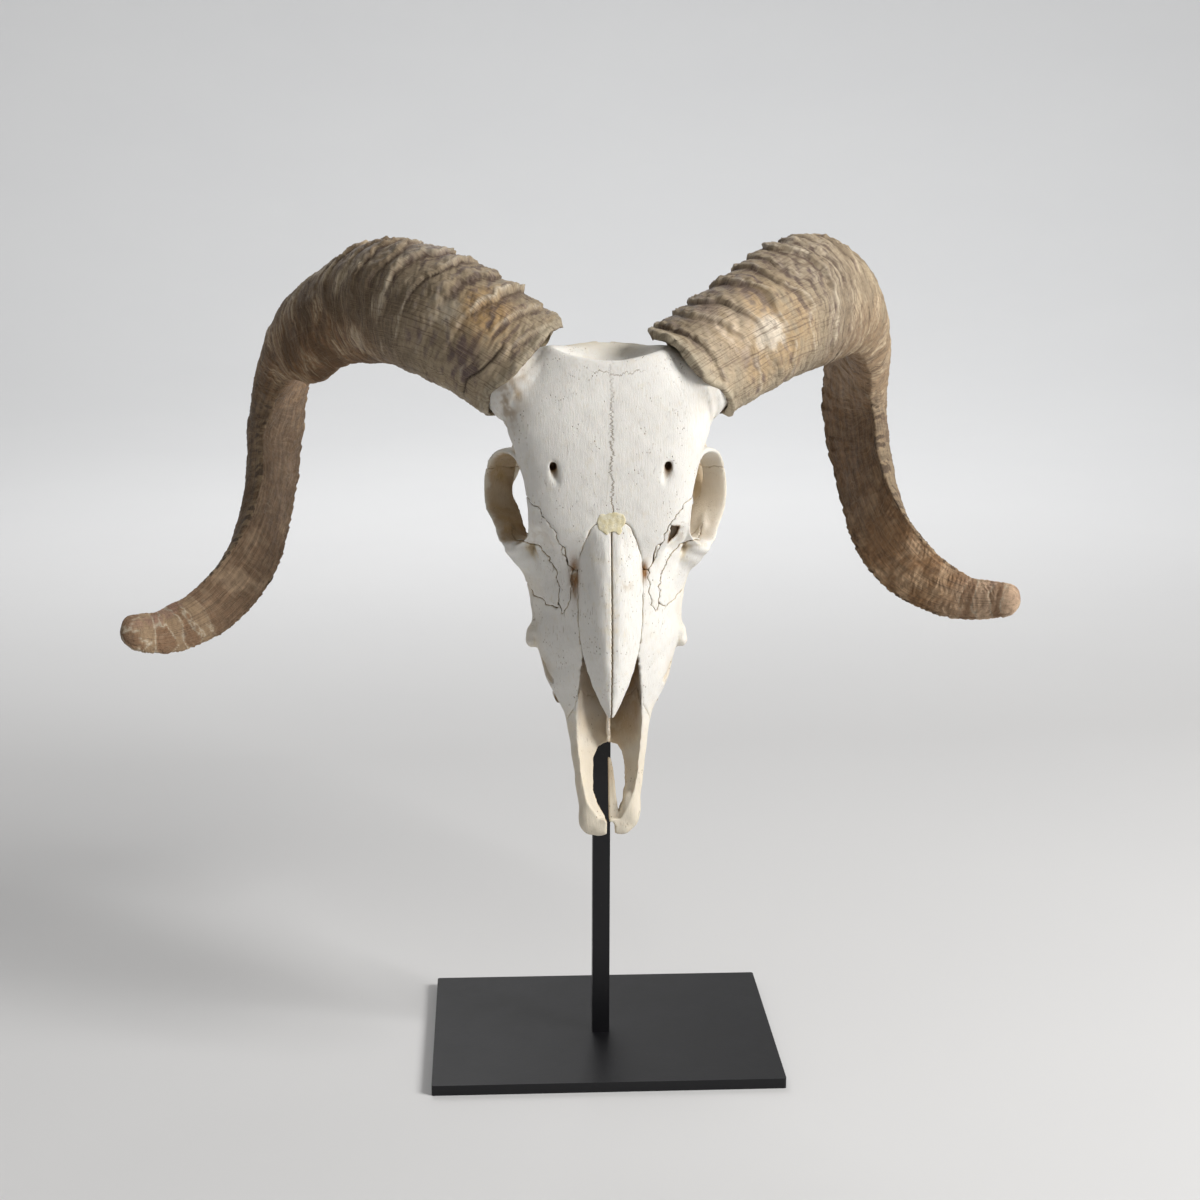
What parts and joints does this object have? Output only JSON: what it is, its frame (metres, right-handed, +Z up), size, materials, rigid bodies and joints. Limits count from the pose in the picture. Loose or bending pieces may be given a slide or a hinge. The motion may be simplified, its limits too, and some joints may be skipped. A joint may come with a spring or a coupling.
{
  "type": "ram skull on display stand",
  "caption": "Horned ram skull without its lower jaw, facing forward and nose down, held by a square rod on a flat black base.",
  "frame": {"origin": "centre of the base's underside, on the surface it stands on", "axes": "+Z up, the face looks along -Y, +X is the animal's own left side"},
  "size_m": [0.5185, 0.2191, 0.4712],
  "materials": {
    "stand": "satin black powder coat",
    "bone": "bleached dry bone",
    "nasal_bone": "bleached dry bone",
    "muzzle_bone": "cream dry bone",
    "horn": "ridged weathered horn"
  },
  "bodies": {
    "root": {"stand_base": "stand", "stand_rod": "stand", "cranium": "bone", "lacrimal_left": "bone", "lacrimal_right": "bone", "zygomatic_left": "bone", "zygomatic_right": "bone", "maxilla_left": "bone", "maxilla_right": "bone", "nasal_left": "nasal_bone", "nasal_right": "nasal_bone", "premaxilla_left": "muzzle_bone", "premaxilla_right": "muzzle_bone", "vomer": "muzzle_bone", "horn_left": "horn", "horn_right": "horn"}
  },
  "joints": []
}
